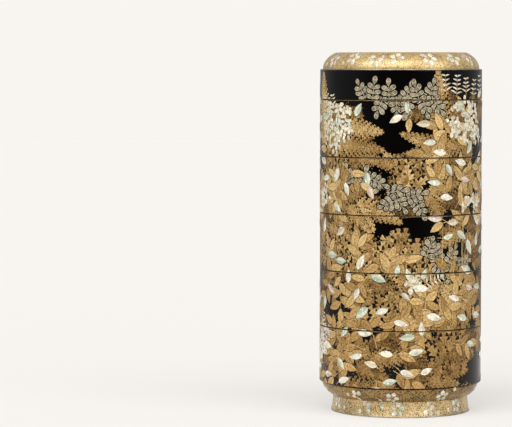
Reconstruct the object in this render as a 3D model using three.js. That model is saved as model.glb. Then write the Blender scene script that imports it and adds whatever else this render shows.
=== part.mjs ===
// A round food box of lacquered wood: five stacked tiers under a domed-shouldered lid, on a flared foot.
// Every piece is turned, so each is one profile of (radius, height) points swept round the upright axis.
// Millimetres, +Z up, with the origin on the axis at the level of the surface that the foot stands on.
// Tiers are counted from the top: tier_1 lies under the lid, and the last one carries the bowl and foot.

import * as THREE from "three";

// The stack
const bodyRadius = 90;
const tierCount = 5;
const tierHeight = 62.5;
const tierWall = 5;
const tierFloor = 4.5;
const edgeBreak = 0.5;

// The standing lip inside each mouth, which centres the piece above
const lipHeight = 4;
const lipThickness = 2.2;
const lipClearance = 0.4;
const lipHeadroom = 0.6;

// The lid: a straight band flush with the tiers, a narrow ledge, and a shoulder that rises to a flat top
const lidBandHeight = 33.4;
const lidLedge = 3;
const shoulderRise = 18.5;
const shoulderReach = 14.7;
const lidTopThickness = 5;
const lidCeilingInset = 10.6;
const lidHollowCurve = 19.5;

// The bowl under the lowest tier, and the foot ring
const bowlLedge = 3;
const bowlDrop = 15.8;
const bowlReach = 11.4;
const bowlHollowReach = 17;
const bowlHollowCurve = 19.3;
const footHeight = 17.2;
const footInset = 0.7;
const footFlare = 1.7;
const footWall = 5;

// The metal rim that the foot stands on
const rimHeight = 1.4;
const rimProud = 0.4;

// How finely the turned surfaces are faceted
const roundSteps = 56;
const curveSteps = 5;
const shoulderSweep = THREE.MathUtils.degToRad(55);

// Levels and radii that follow from the sizes above
const innerRadius = bodyRadius - tierWall;
const lipRadius = innerRadius + lipThickness;
const recessRadius = lipRadius + lipClearance;
const recessHeight = lipHeight + lipHeadroom;
const bowlTop = footHeight + bowlDrop;
const stackTop = bowlTop + tierCount * tierHeight;
const ledgeLevel = stackTop + lidBandHeight;
const lidTop = ledgeLevel + shoulderRise;

const blackLacquer = new THREE.MeshStandardMaterial({
  color: 0x14100f,
  roughness: 0.15,
  metalness: 0,
});
const pewter = new THREE.MeshStandardMaterial({
  color: 0xa9a79f,
  roughness: 0.4,
  metalness: 1,
});

const point = (radius, height) => new THREE.Vector2(radius, height);

// A turned piece, from a closed profile that runs anticlockwise, with the axis on its left.
function turned(name, profile, material) {
  const geometry = new THREE.LatheGeometry(profile, roundSteps);
  geometry.rotateX(Math.PI / 2);
  const mesh = new THREE.Mesh(geometry, material);
  mesh.name = name;
  return mesh;
}

// Points of an elliptical sweep that starts upright at startRadius and comes inwards by reach while it
// climbs by rise (or drops, where rise is negative), over the given angle of the ellipse.
function inwardCurve(startRadius, startHeight, reach, rise, sweep) {
  const radialAxis = reach / (1 - Math.cos(sweep));
  const uprightAxis = rise / Math.sin(sweep);
  return Array.from({ length: curveSteps + 1 }, (_, step) => {
    const angle = (sweep * step) / curveSteps;
    return point(
      startRadius - radialAxis * (1 - Math.cos(angle)),
      startHeight + uprightAxis * Math.sin(angle),
    );
  });
}

// The seat under a piece: the recess that takes the lip below, then the outside edge, softened.
function seat(level) {
  return [
    point(recessRadius, level + recessHeight),
    point(recessRadius, level),
    point(bodyRadius - edgeBreak, level),
    point(bodyRadius, level + edgeBreak),
  ];
}

// The mouth of a tier: the softened outside edge, the flat that the next piece rests on, and the lip.
function mouth(level) {
  return [
    point(bodyRadius, level - edgeBreak),
    point(bodyRadius - edgeBreak, level),
    point(lipRadius, level),
    point(lipRadius, level + lipHeight),
    point(innerRadius, level + lipHeight),
  ];
}

// A plain tier: a straight tray with a flat floor over the seat.
function plainTier(name, level) {
  const floorLevel = level + recessHeight + tierFloor;
  return turned(
    name,
    [
      point(0, level + recessHeight),
      ...seat(level),
      ...mouth(level + tierHeight),
      point(innerRadius, floorLevel),
      point(0, floorLevel),
    ],
    blackLacquer,
  );
}

// The lowest tier: its wall turns in through a bowl to the foot ring, and its hollow follows the bowl.
function footedTier(name) {
  const bowlRadius = bodyRadius - bowlLedge;
  const footRadius = bowlRadius - bowlReach - footInset;
  const footInner = footRadius - footWall;
  const floorLevel = footHeight + tierFloor;
  const bowl = inwardCurve(bowlRadius, bowlTop, bowlReach, -bowlDrop, shoulderSweep).reverse();
  const hollow = inwardCurve(
    innerRadius,
    floorLevel + bowlHollowCurve,
    bowlHollowReach,
    -bowlHollowCurve,
    Math.PI / 2,
  );
  return turned(
    name,
    [
      point(0, footHeight),
      point(footInner, footHeight),
      point(footInner, rimHeight),
      point(footRadius + footFlare, rimHeight),
      point(footRadius + footFlare / 4, (footHeight + rimHeight) / 2),
      point(footRadius, footHeight),
      ...bowl,
      point(bodyRadius - edgeBreak, bowlTop),
      point(bodyRadius, bowlTop + edgeBreak),
      ...mouth(bowlTop + tierHeight),
      ...hollow,
      point(0, floorLevel),
    ],
    blackLacquer,
  );
}

// The lid: the band over the topmost lip, the ledge, the rising shoulder and the flat top, hollow inside.
function lid(name) {
  const ceiling = lidTop - lidTopThickness;
  const shoulderRadius = bodyRadius - lidLedge;
  const topRadius = shoulderRadius - shoulderReach;
  const hollow = inwardCurve(
    innerRadius,
    ceiling - lidHollowCurve,
    innerRadius - (topRadius - lidCeilingInset),
    lidHollowCurve,
    Math.PI / 2,
  ).reverse();
  return turned(
    name,
    [
      point(0, ceiling),
      ...hollow,
      point(innerRadius, stackTop + recessHeight),
      ...seat(stackTop),
      point(bodyRadius, ledgeLevel - edgeBreak),
      point(bodyRadius - edgeBreak, ledgeLevel),
      ...inwardCurve(shoulderRadius, ledgeLevel, shoulderReach, shoulderRise, shoulderSweep),
      point(0, lidTop),
    ],
    blackLacquer,
  );
}

// The metal rim under the foot ring, a little proud of it outside and flush with it inside.
function footRim(name) {
  const footRadius = bodyRadius - bowlLedge - bowlReach - footInset;
  const inner = footRadius - footWall;
  const outer = footRadius + footFlare + rimProud;
  return turned(
    name,
    [
      point(inner, 0),
      point(outer, 0),
      point(outer, rimHeight),
      point(inner, rimHeight),
      point(inner, 0),
    ],
    pewter,
  );
}

const box = new THREE.Group();
box.add(lid("lid"));
for (let number = 1; number < tierCount; number += 1) {
  box.add(plainTier(`tier_${number}`, stackTop - number * tierHeight));
}
box.add(footedTier(`tier_${tierCount}`));
box.add(footRim("foot_rim"));

export default box;
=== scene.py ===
"""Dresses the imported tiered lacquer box: turned black lacquer under gold, silver and shell foliage.

Lengths are in millimetres until a mesh is made, and in metres after that. The foliage is laid out on the
unrolled wall, where u runs to the right round the body and v is the height, and is then bent round it.
"""

import logging
import math
from collections import defaultdict
from collections.abc import Iterable, Sequence
from dataclasses import dataclass, field
from enum import Enum

import bpy
import numpy as np
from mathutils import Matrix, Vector


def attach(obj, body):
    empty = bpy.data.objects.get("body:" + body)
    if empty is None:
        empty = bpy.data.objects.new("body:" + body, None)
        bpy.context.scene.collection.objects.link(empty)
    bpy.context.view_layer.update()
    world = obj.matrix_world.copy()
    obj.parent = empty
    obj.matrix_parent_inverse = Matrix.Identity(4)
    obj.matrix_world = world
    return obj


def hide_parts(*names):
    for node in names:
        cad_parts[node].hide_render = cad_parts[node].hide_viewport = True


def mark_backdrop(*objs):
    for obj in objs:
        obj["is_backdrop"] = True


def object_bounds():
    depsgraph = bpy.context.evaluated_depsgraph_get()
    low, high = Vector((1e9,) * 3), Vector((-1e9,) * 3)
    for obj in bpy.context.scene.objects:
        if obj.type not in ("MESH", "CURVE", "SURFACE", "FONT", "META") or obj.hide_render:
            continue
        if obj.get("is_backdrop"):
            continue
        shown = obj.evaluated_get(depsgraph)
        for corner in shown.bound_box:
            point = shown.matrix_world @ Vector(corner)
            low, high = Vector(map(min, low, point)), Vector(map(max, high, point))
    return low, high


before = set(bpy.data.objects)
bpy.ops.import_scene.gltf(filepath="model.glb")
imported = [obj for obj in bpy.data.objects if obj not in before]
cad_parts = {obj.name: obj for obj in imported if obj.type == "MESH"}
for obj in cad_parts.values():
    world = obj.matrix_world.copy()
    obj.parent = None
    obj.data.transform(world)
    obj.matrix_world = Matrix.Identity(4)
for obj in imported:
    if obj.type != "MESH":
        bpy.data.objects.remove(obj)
cad_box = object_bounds()

log = logging.getLogger("lacquer_box")

Point = tuple[float, float]
Spot = tuple[float, float, float]  # u, v and a heading in radians
Socket = bpy.types.NodeSocket
Source = Socket | str | float

MM = 0.001
FACETS = 180  # panels round every turned piece, so that leaves lie flat on the panel that carries them
SEED = 1850


@dataclass(frozen=True)
class Sizes:
    """The sizes that parts share, repeated from the solids, less the little that the finish sits inside."""

    body_radius: float = 89.5
    tier_wall: float = 4.5
    tier_height: float = 62.5
    tier_count: int = 5
    lip_radius: float = 87.2
    lip_height: float = 4.0
    lip_clearance: float = 0.4
    seat_height: float = 4.6
    seam_gap: float = 0.22
    seam_softening: float = 0.55
    foot_height: float = 17.2
    bowl_top: float = 33.0
    bowl_radius: float = 86.5
    foot_radius: float = 74.7
    foot_flare: float = 1.7
    foot_inner: float = 69.9
    rim_height: float = 1.4
    rim_radius: float = 76.9
    stack_top: float = 345.5
    ledge: float = 378.9
    shoulder_radius: float = 86.5
    top_radius: float = 72.3
    lid_top: float = 397.15

    @property
    def inner_radius(self) -> float:
        """The radius of the space inside the walls."""
        return self.body_radius - self.tier_wall

    @property
    def seat_radius(self) -> float:
        """The radius of the recess under a part, which takes the lip of the part below."""
        return self.lip_radius + self.lip_clearance

    def tier_base(self, number: int) -> float:
        """The level of a tier's underside, with tier 1 under the lid."""
        return self.stack_top - number * self.tier_height


SIZES = Sizes()
WIDE = 2 * math.pi * SIZES.body_radius
PANEL = WIDE / FACETS


def linear(code: str) -> tuple[float, float, float, float]:
    """Turns an sRGB hex colour into linear red, green, blue and alpha.

    Args:
        code: Six hex digits after a #.

    Returns:
        The linear colour, opaque.
    """
    parts = [int(code[i : i + 2], 16) / 255 for i in (1, 3, 5)]
    red, green, blue = (p / 12.92 if p <= 0.04045 else ((p + 0.055) / 1.055) ** 2.4 for p in parts)
    return red, green, blue, 1.0


def add(tree: bpy.types.NodeTree, kind: str, links: dict | None = None, **settings: object) -> bpy.types.Node:
    """Adds a node to a tree, sets it and links it.

    Args:
        tree: The tree that gets the node.
        kind: The node's Blender type.
        links: Input name or number to the output that feeds it.
        **settings: Node properties, or inputs by name with spaces as underscores, or by number as in_0.

    Returns:
        The new node.
    """
    node = tree.nodes.new(kind)
    for name, value in settings.items():
        if name.startswith("in_"):
            node.inputs[int(name[3:])].default_value = value
        elif hasattr(node, name):
            setattr(node, name, value)
        else:
            node.inputs[name.replace("_", " ")].default_value = value
    for name, source in (links or {}).items():
        tree.links.new(source, node.inputs[name])
    return node


@dataclass(frozen=True)
class Nodes:
    """Short ways to add what the finishes have in common to one tree."""

    tree: bpy.types.NodeTree

    def feed(self, socket: Socket, source: Source) -> None:
        """Links an output to an input, or sets the input to a hex colour or a number."""
        if isinstance(source, Socket):
            self.tree.links.new(source, socket)
        else:
            socket.default_value = linear(source) if isinstance(source, str) else source

    def mixed(self, share: Source, low: Source, high: Source) -> Socket:
        """Mixes two colours.

        Args:
            share: The second colour's share.
            low: The colour where the share is 0.
            high: The colour where the share is 1.

        Returns:
            The mixed colour.
        """
        node = add(self.tree, "ShaderNodeMix", data_type="RGBA")
        # The node numbers its share 0, its two colours 6 and 7, and the mixed colour 2
        for number, source in ((0, share), (6, low), (7, high)):
            self.feed(node.inputs[number], source)
        return node.outputs[2]

    def ranged(self, value: Socket, given: Point, wanted: Point, smooth: bool = True) -> Socket:
        """Turns one range of a value into another, and holds its ends outside it.

        Args:
            value: The value to turn.
            given: The low and high end of its range.
            wanted: What the two ends become.
            smooth: Whether it eases in and out between them.

        Returns:
            The turned value.
        """
        kind = "SMOOTHSTEP" if smooth else "LINEAR"
        ends = {f"in_{number}": end for number, end in enumerate((*given, *wanted), start=1)}
        node = add(self.tree, "ShaderNodeMapRange", {"Value": value}, interpolation_type=kind, **ends)
        return node.outputs[0]

    def stepped(self, value: Socket, start: float, end: float) -> Socket:
        """Rises smoothly from 0 to 1 while a value goes from start to end, or falls if end is less."""
        rises = start < end
        return self.ranged(value, (min(start, end), max(start, end)), (0.0, 1.0) if rises else (1.0, 0.0))

    def sums(self, operation: str, first: Source, second: Source = 0.0) -> Socket:
        """One sum on two outputs or numbers."""
        node = add(self.tree, "ShaderNodeMath", operation=operation)
        for socket, value in zip(node.inputs, (first, second)):
            self.feed(socket, value)
        return node.outputs[0]

    def weighed(self, first: Socket, second: Socket, share: float) -> Socket:
        """The mean of two values, of which the first has the share given."""
        parts = self.sums("MULTIPLY", first, share), self.sums("MULTIPLY", second, 1 - share)
        return self.sums("ADD", *parts)

    def read(self, name: str) -> Socket:
        """The value that the mesh holds under a name."""
        return add(self.tree, "ShaderNodeAttribute", attribute_name=name).outputs["Fac"]

    def place(self) -> Socket:
        """The object's own coordinates, in metres."""
        return add(self.tree, "ShaderNodeTexCoord").outputs["Object"]

    def grain(self, size_mm: float, detail: float = 2.0) -> Socket:
        """Noise whose patches measure about size_mm."""
        scale = 0.5 / (size_mm * MM)
        noise = add(self.tree, "ShaderNodeTexNoise", {"Vector": self.place()}, Scale=scale, Detail=detail)
        return noise.outputs["Fac"]


class Slot(Enum):
    """The finishes that the record names."""

    BLACK = "black_lacquer"
    PEWTER = "pewter"
    GOLD = "gold_lacquer"
    SILVER = "silver_lacquer"
    SHELL = "shell_inlay"


@dataclass(frozen=True)
class Finish:
    """What every finish has: a name, and a Principled shader that its own nodes and constants feed."""

    name: str

    def make(self) -> bpy.types.Material:
        """Makes the material.

        Returns:
            The material, with what inputs() says on its shader.
        """
        material = bpy.data.materials.new(self.name)
        material.use_nodes = True
        nodes = Nodes(material.node_tree)
        nodes.tree.nodes.clear()
        shader = add(nodes.tree, "ShaderNodeBsdfPrincipled")
        add(nodes.tree, "ShaderNodeOutputMaterial", {"Surface": shader.outputs["BSDF"]})
        for name, source in self.inputs(nodes).items():
            nodes.feed(shader.inputs[name], source)
        return material

    def inputs(self, nodes: Nodes) -> dict[str, Source]:
        """What each input of the shader gets, by the input's name; every kind of finish has its own."""
        raise NotImplementedError


@dataclass(frozen=True)
class BlackLacquer(Finish):
    """Polished black lacquer. Deep and even, it shows a soft reflection over a black that is barely warm."""

    name: str = "polished black lacquer"
    colour: str = "#060404"
    worn_colour: str = "#15100e"
    dust_colour: str = "#b48b4d"
    fleck_mm: float = 1.0  # real flecks are 0.2 mm, too fine to show, so they are drawn as coarse as this
    fleck_metallic: float = 0.6
    roughness: float = 0.14
    fleck_roughness: float = 0.42
    dusted: bool = True

    def inputs(self, nodes: Nodes) -> dict[str, Source]:
        """What the shader gets; the mesh's dust value says how thickly gold flecks lie in the lacquer."""
        shine = {"IOR": 1.5, "Specular IOR Level": 0.18}
        if not self.dusted:
            # The hidden insides were rubbed less, so their black wanders a little
            worn = nodes.stepped(nodes.grain(14.0), 0.3, 0.75)
            colour = nodes.mixed(worn, self.colour, self.worn_colour)
            return {**shine, "Roughness": self.roughness, "Base Color": colour}
        scale = 1.0 / (self.fleck_mm * MM)
        cells = add(nodes.tree, "ShaderNodeTexVoronoi", {"Vector": nodes.place()}, feature="F1", Scale=scale)
        lot = add(nodes.tree, "ShaderNodeSeparateColor", {"Color": cells.outputs["Color"]}).outputs[0]
        fleck = nodes.sums("LESS_THAN", lot, nodes.read("dust"))
        shown = nodes.sums("MULTIPLY", fleck, nodes.stepped(cells.outputs["Distance"], 0.62, 0.4))
        spread = (self.roughness, self.fleck_roughness)
        return {
            **shine,
            "Base Color": nodes.mixed(shown, self.colour, self.dust_colour),
            "Metallic": nodes.sums("MULTIPLY", shown, self.fleck_metallic),
            "Roughness": nodes.ranged(shown, (0.0, 1.0), spread, smooth=False),
        }


@dataclass(frozen=True)
class PowderPicture(Finish):
    """Metal powder sprinkled on wet lacquer. It gives a satin, faintly grainy leaf with dark drawn lines."""

    name: str = "sprinkled gold powder"
    deep: str = "#62441b"
    middle: str = "#b89156"
    light: str = "#f0cd8c"
    line: str = "#51360f"
    rim: str = "#35210a"
    rim_start: float = 0.82
    bed: str = "#130c07"
    veins: int = 6
    vein_slant: float = 0.16
    vein_strength: float = 0.36
    metallic: float = 0.4
    roughness: float = 0.42

    def inputs(self, nodes: Nodes) -> dict[str, Source]:
        """What the shader gets, from the mesh's tone, along, side and rim values."""
        tone, along, side, rim = (nodes.read(name) for name in ("tone", "along", "side", "rim"))
        powder = nodes.stepped(nodes.grain(1.1), 0.3, 0.7)
        mottled = nodes.weighed(tone, powder, 0.75)
        lower = nodes.mixed(nodes.stepped(mottled, 0.0, 0.55), self.deep, self.middle)
        colour = nodes.mixed(nodes.stepped(mottled, 0.42, 0.92), lower, self.light)
        # Side veins leave the midrib slanting towards the tip
        off = nodes.sums("ABSOLUTE", side)
        slant = nodes.sums("SUBTRACT", along, nodes.sums("MULTIPLY", off, self.vein_slant))
        wave = nodes.sums("FRACT", nodes.sums("MULTIPLY", slant, float(self.veins)))
        vein = nodes.stepped(nodes.sums("ABSOLUTE", nodes.sums("SUBTRACT", wave, 0.5)), 0.14, 0.03)
        midrib = nodes.stepped(off, 0.13, 0.05)
        drawn = nodes.sums("MULTIPLY", nodes.sums("MAXIMUM", vein, midrib), self.vein_strength)
        colour = nodes.mixed(drawn, colour, self.line)
        edge = nodes.stepped(rim, self.rim_start, min(1.0, self.rim_start + 0.1))
        colour = nodes.mixed(edge, colour, self.rim)
        spread = (self.roughness - 0.06, self.roughness + 0.08)
        return {
            "Metallic": self.metallic,
            "Specular IOR Level": 0.3,
            "Base Color": nodes.mixed(nodes.stepped(rim, 1.2, 1.8), colour, self.bed),
            "Roughness": nodes.ranged(powder, (0.0, 1.0), spread, smooth=False),
        }


@dataclass(frozen=True)
class Shell(Finish):
    """Thin mother-of-pearl under polished lacquer. Each piece has its own tint, and bands cross it."""

    name: str = "mother-of-pearl"
    tints: tuple[str, ...] = (
        "#efddb4", "#c8b68c", "#f1e8d2", "#e2e0d0", "#abc4b0", "#ccd2ba", "#cfaca2", "#b6baa8"
    )
    band: str = "#a39c82"
    lit_half_colour: str = "#f3e6c8"
    low_shade_colour: str = "#8c8168"
    glint: str = "#f8f5ec"
    rim: str = "#4f4029"
    band_mm: float = 2.6
    glint_mm: float = 1.5

    def inputs(self, nodes: Nodes) -> dict[str, Source]:
        """What the shader gets, from the mesh's tone, side and rim values."""
        ramp = add(nodes.tree, "ShaderNodeValToRGB", {"Fac": nodes.read("tone")})
        ramp.color_ramp.interpolation = "CONSTANT"
        steps = ramp.color_ramp.elements
        while len(steps) < len(self.tints):
            steps.new(0.5)
        for number, (step, tint) in enumerate(zip(steps, self.tints)):
            step.position = number / len(self.tints)
            step.color = linear(tint)
        tinted = ramp.outputs["Color"]
        bands = nodes.stepped(nodes.grain(self.band_mm, 1.0), 0.42, 0.6)
        colour = nodes.mixed(0.4, nodes.mixed(bands, tinted, self.band), tinted)
        # Painted light: one half of each leaf is paler, as if the leaf were folded along its midrib and that
        # half caught the light
        half = nodes.sums("MULTIPLY", nodes.stepped(nodes.read("side"), -0.1, 0.1), 0.5)
        colour = nodes.mixed(half, colour, self.lit_half_colour)
        # Painted shade: the lower a piece of shell lies, the more it is darkened towards a dull brown, as the
        # light falls off downwards; the level is in metres
        level = add(nodes.tree, "ShaderNodeSeparateXYZ", {"Vector": nodes.place()}).outputs["Z"]
        low_shade = nodes.sums("MULTIPLY", nodes.stepped(level, 0.3, 0.02), 0.12)
        colour = nodes.mixed(low_shade, colour, self.low_shade_colour)
        # Painted highlights: small near-white glints mixed into the shell's colour
        glints = nodes.stepped(nodes.grain(self.glint_mm, 1.0), 0.6, 0.7)
        colour = nodes.mixed(glints, colour, self.glint)
        edge = nodes.stepped(nodes.read("rim"), 0.86, 0.96)
        return {
            "Roughness": 0.24,
            "IOR": 1.6,
            "Coat Weight": 0.5,
            "Base Color": nodes.mixed(edge, colour, self.rim),
        }


@dataclass(frozen=True)
class GoldGround(Finish):
    """Gold flakes scattered in amber lacquer. It reads as bright grainy gold with brown in between."""

    name: str = "gold flake lacquer"
    flake: str = "#ecd099"
    between: str = "#4c3414"
    fleck_mm: float = 0.8  # drawn coarser than the real 0.3 mm flakes, which would not show
    cloud_mm: float = 9.0
    metallic: float = 0.8

    def inputs(self, nodes: Nodes) -> dict[str, Source]:
        """What the shader gets: fine flecks, thicker in some clouds, over brown."""
        fine = nodes.stepped(nodes.grain(self.fleck_mm, 3.0), 0.38, 0.56)
        cloud = nodes.stepped(nodes.grain(self.cloud_mm), 0.3, 0.7)
        colour = nodes.mixed(nodes.weighed(fine, cloud, 0.72), self.between, self.flake)
        return {"Metallic": self.metallic, "Roughness": 0.4, "Coat Weight": 0.2, "Base Color": colour}


@dataclass(frozen=True)
class PlainMetal(Finish):
    """A metal or a gilded ground of one colour, dulled in soft patches where hands have been."""

    name: str = "dull pewter"
    bright: str = "#b5b2a8"
    dull: str = "#8f8c82"
    metallic: float = 1.0
    roughness: float = 0.4
    patch_mm: float = 7.0

    def inputs(self, nodes: Nodes) -> dict[str, Source]:
        """What the shader gets: two colours in soft patches."""
        patches = nodes.stepped(nodes.grain(self.patch_mm, 3.0), 0.35, 0.7)
        colour = nodes.mixed(patches, self.bright, self.dull)
        return {"Metallic": self.metallic, "Roughness": self.roughness, "Base Color": colour}


@dataclass(frozen=True)
class Palette:
    """Every material of the box, made once."""

    made: dict[str, bpy.types.Material] = field(default_factory=dict)

    def get(self, finish: Finish) -> bpy.types.Material:
        """The material of a finish."""
        if finish.name not in self.made:
            self.made[finish.name] = finish.make()
        return self.made[finish.name]


OUTSIDE = BlackLacquer()
INSIDE = BlackLacquer(name="plain black lacquer", dusted=False)
GOLD = PowderPicture()
SILVER = PowderPicture(
    name="sprinkled silver powder",
    deep="#554b37",
    middle="#766a52",
    light="#958870",
    line="#cfc2a0",
    rim="#e4d8b8",
    rim_start=0.72,
    veins=1,
    vein_strength=0.6,
    metallic=0.25,
)
SHELL = Shell()
SHOULDER_FLAKES = GoldGround(
    name="bright gold flake lacquer", flake="#ebce92", between="#8c6733", fleck_mm=0.65, metallic=0.5
)
BOWL_FLAKES = GoldGround(name="brown gold flake lacquer", flake="#b39159", between="#261703")
FOOT_FLAKES = GoldGround(between="#664a20", fleck_mm=0.65)
PEWTER = PlainMetal()
PANEL_GOLD = PlainMetal(
    name="burnished gold leaf", bright="#f4d77a", dull="#f2ce72", metallic=0.1, roughness=0.5, patch_mm=26.0
)
BROWN = PlainMetal(
    name="brown lacquer", bright="#361409", dull="#280f06", metallic=0.0, roughness=0.2, patch_mm=12.0
)
RING_GOLD = PlainMetal(
    name="deep gold leaf", bright="#f2ca6a", dull="#ebbd5c", metallic=0.12, roughness=0.5, patch_mm=16.0
)
# A gilt edge line whose paleness is partly a painted highlight, for the light that a rounded edge catches
GILT_EDGE_AND_HIGHLIGHT = PlainMetal(name="worn gilt edge and painted highlight", bright="#8f774c", dull="#4a381f", metallic=0.5, patch_mm=4.0)

# The finishes that the foliage is worked in
FOLIAGE = {Slot.GOLD: GOLD, Slot.SILVER: SILVER, Slot.SHELL: SHELL}


@dataclass(frozen=True)
class Run:
    """Part of a turned profile: its points, as radius and height, and what finishes it."""

    points: Sequence[Point]
    finish: Finish


def arc(start: Point, end: Point, sweep: float, steps: int) -> list[Point]:
    """Points of an elliptical sweep that starts upright.

    Args:
        start: Radius and height where it is upright.
        end: Radius and height where it ends.
        sweep: The angle of the ellipse that it covers, in degrees.
        steps: How many pieces it has.

    Returns:
        The points, both ends among them.
    """
    turn = math.radians(sweep)
    reach = (start[0] - end[0]) / (1 - math.cos(turn))
    climb = (end[1] - start[1]) / math.sin(turn)
    angles = (turn * i / steps for i in range(steps + 1))
    return [(start[0] - reach * (1 - math.cos(a)), start[1] + climb * math.sin(a)) for a in angles]


def soft_corner(radius: float, level: float, softening: float, upper: bool, steps: int = 3) -> list[Point]:
    """Points that round the corner where a wall starts or ends.

    Args:
        radius: The corner's radius.
        level: The corner's height.
        softening: How far from the corner the rounding starts and ends.
        upper: Whether the wall ends there, or starts there.
        steps: How many pieces it has.

    Returns:
        The points, both ends among them.
    """
    flat = (radius - softening, level)
    upright = (radius, level - softening if upper else level + softening)
    before, after = (upright, flat) if upper else (flat, upright)
    shares = [i / steps for i in range(steps + 1)]
    ends = list(zip(before, (radius, level), after))
    return [tuple((1 - t) ** 2 * a + 2 * t * (1 - t) * b + t * t * c for a, b, c in ends) for t in shares]


def straight(low: float, high: float, radius: float, step: float = 3.2) -> list[Point]:
    """Points up an upright wall, close enough together to hold the dust values."""
    count = max(1, round(abs(high - low) / step))
    return [(radius, low + (high - low) * i / count) for i in range(count + 1)]


def shoulder_profile() -> list[Point]:
    """The lid's shoulder, from the ledge up to the flat top."""
    return arc((SIZES.shoulder_radius, SIZES.ledge), (SIZES.top_radius, SIZES.lid_top), 55, 16)


def bowl_profile() -> list[Point]:
    """The bowl, from the foot up."""
    return arc((SIZES.bowl_radius, SIZES.bowl_top), (SIZES.foot_radius, SIZES.foot_height), 55, 14)[::-1]


def foot_profile(steps: int = 8) -> list[Point]:
    """The flared foot, from the rim up."""
    s = SIZES
    shares = [i / steps for i in range(steps + 1)]
    height = s.foot_height - s.rim_height
    return [(s.foot_radius + s.foot_flare * (1 - t) ** 2, s.rim_height + height * t) for t in shares]


def linked(name: str, mesh: bpy.types.Mesh) -> bpy.types.Object:
    """Puts a mesh into the scene as an object."""
    piece = bpy.data.objects.new(name, mesh)
    bpy.context.scene.collection.objects.link(piece)
    return piece


@dataclass(frozen=True)
class Turned:
    """A piece turned about the upright axis from a closed profile, anticlockwise, the axis on its left."""

    name: str
    runs: Sequence[Run]
    palette: Palette
    dusted: bool
    same_point: float = 1e-4
    on_axis: float = 1e-6
    crease: float = 38.0

    def build(self) -> bpy.types.Object:
        """Makes the mesh.

        Returns:
            The object, in the frame's metres.
        """
        path, finishes = [self.runs[0].points[0]], []
        for run in self.runs:
            for point in run.points:
                if math.dist(point, path[-1]) > self.same_point:
                    path.append(point)
                    finishes.append(run.finish)
        turn = np.arange(FACETS) * 2 * math.pi / FACETS
        rings, places = [], []
        for radius, height in path:
            count = 1 if radius < self.on_axis else FACETS
            rings.append(range(len(places), len(places) + count))
            angles = turn[:count]
            places += list(zip(radius * np.sin(angles), -radius * np.cos(angles), np.full(count, height)))
        faces, slots, order = [], [], list(dict.fromkeys(finishes))
        for low, high, finish in zip(rings, rings[1:], finishes):
            made = self.band(low, high)
            faces += made
            slots += [order.index(finish)] * len(made)
        where = np.array(places)
        mesh = bpy.data.meshes.new(self.name)
        mesh.from_pydata((where * MM).tolist(), [], faces)
        for finish in order:
            mesh.materials.append(self.palette.get(finish))
        mesh.polygons.foreach_set("material_index", slots)
        angle = np.degrees(np.arctan2(where[:, 0], -where[:, 1]))
        dust = dust_on_wall(angle, where[:, 2]) if self.dusted else np.zeros(len(where))
        mesh.attributes.new("dust", "FLOAT", "POINT").data.foreach_set("value", dust.astype(np.float32))
        mesh.polygons.foreach_set("use_smooth", [True] * len(faces))
        mesh.set_sharp_from_angle(angle=math.radians(self.crease))
        mesh.update()
        return linked(self.name, mesh)

    def band(self, low: range, high: range) -> list[tuple[int, ...]]:
        """The faces between two rings.

        Args:
            low: The numbers of the first ring's points, or of its one point on the axis.
            high: The numbers of the second ring's.

        Returns:
            The faces, as point numbers.
        """
        if len(low) == 1 and len(high) == 1:
            return []
        after = [(i + 1) % FACETS for i in range(FACETS)]
        if len(low) == 1:
            return [(low[0], high[j], high[i]) for i, j in enumerate(after)]
        if len(high) == 1:
            return [(low[i], low[j], high[0]) for i, j in enumerate(after)]
        return [(low[i], low[j], high[j], high[i]) for i, j in enumerate(after)]


# Without eq, two motifs whose outlines hold the same numbers stay two motifs
@dataclass(frozen=True, eq=False)
class Outline:
    """A motif's flat mesh, in shares of its length and of half its width."""

    points: np.ndarray
    rim: np.ndarray
    triangles: np.ndarray

    @classmethod
    def smooth(cls, stations: Sequence[Point]) -> "Outline":
        """A leaf with an even edge.

        Args:
            stations: Share of the length and of the half width, from base to tip, where both are 0 wide.

        Returns:
            The outline.
        """
        inner = range(1, len(stations) - 1)
        points = [(t, 0.0) for t, _ in stations]
        rim = [1.0] + [0.0] * len(inner) + [1.0]
        sides = []
        for sign in (1, -1):
            sides.append({i: len(points) + k for k, i in enumerate(inner)})
            points += [(stations[i][0], sign * stations[i][1]) for i in inner]
            rim += [1.0] * len(inner)
        last = len(stations) - 1
        triangles = []
        for side, flip in zip(sides, (False, True)):
            outer = {0: 0, last: last, **side}
            for i in range(last):
                corners = [(i, i + 1, outer[i + 1]), (i, outer[i + 1], outer[i])]
                triangles += [c[::-1] if flip else c for c in corners if len(set(c)) == 3]
        return cls(np.array(points), np.array(rim), np.array(triangles))

    @classmethod
    def toothed(cls, teeth: int) -> "Outline":
        """A tapering blade with pointed lobes that lean to the tip.

        Args:
            teeth: How many lobes stand on each side.

        Returns:
            The outline.
        """
        start, waist_rim, tip_rim = 0.02, 0.5, 0.9
        waist = [(i / teeth, 0.4 * (1 - i / teeth) ** 0.7) for i in range(teeth + 1)]
        body = cls.smooth([(0.0, 0.0), *[(t + start, w) for t, w in waist[:-1]], (1.0, 0.0)])
        points, triangles = list(map(tuple, body.points)), body.triangles.tolist()
        rim = [waist_rim if s else r for (_, s), r in zip(body.points, body.rim)]
        for sign in (1, -1):
            for (t0, w0), (t1, w1) in zip(waist, waist[1:]):
                first = len(points)
                tip = (t0 + 0.8 / teeth + 0.05, sign * (1 - t0) ** 0.8)
                points += [(t0 + start, sign * w0), (min(1.0, t1 + start), sign * w1), tip]
                rim += [waist_rim, waist_rim, tip_rim]
                corners = [first, first + 1, first + 2]
                triangles.append(corners if sign > 0 else corners[::-1])
        return cls(np.array(points), np.array(rim), np.array(triangles))

    def bed(self) -> "Outline":
        """The same outline marked as a bed, the dark ground that parts a leaf from what lies under it."""
        return Outline(self.points, np.full(len(self.rim), 2.0), self.triangles)


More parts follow.
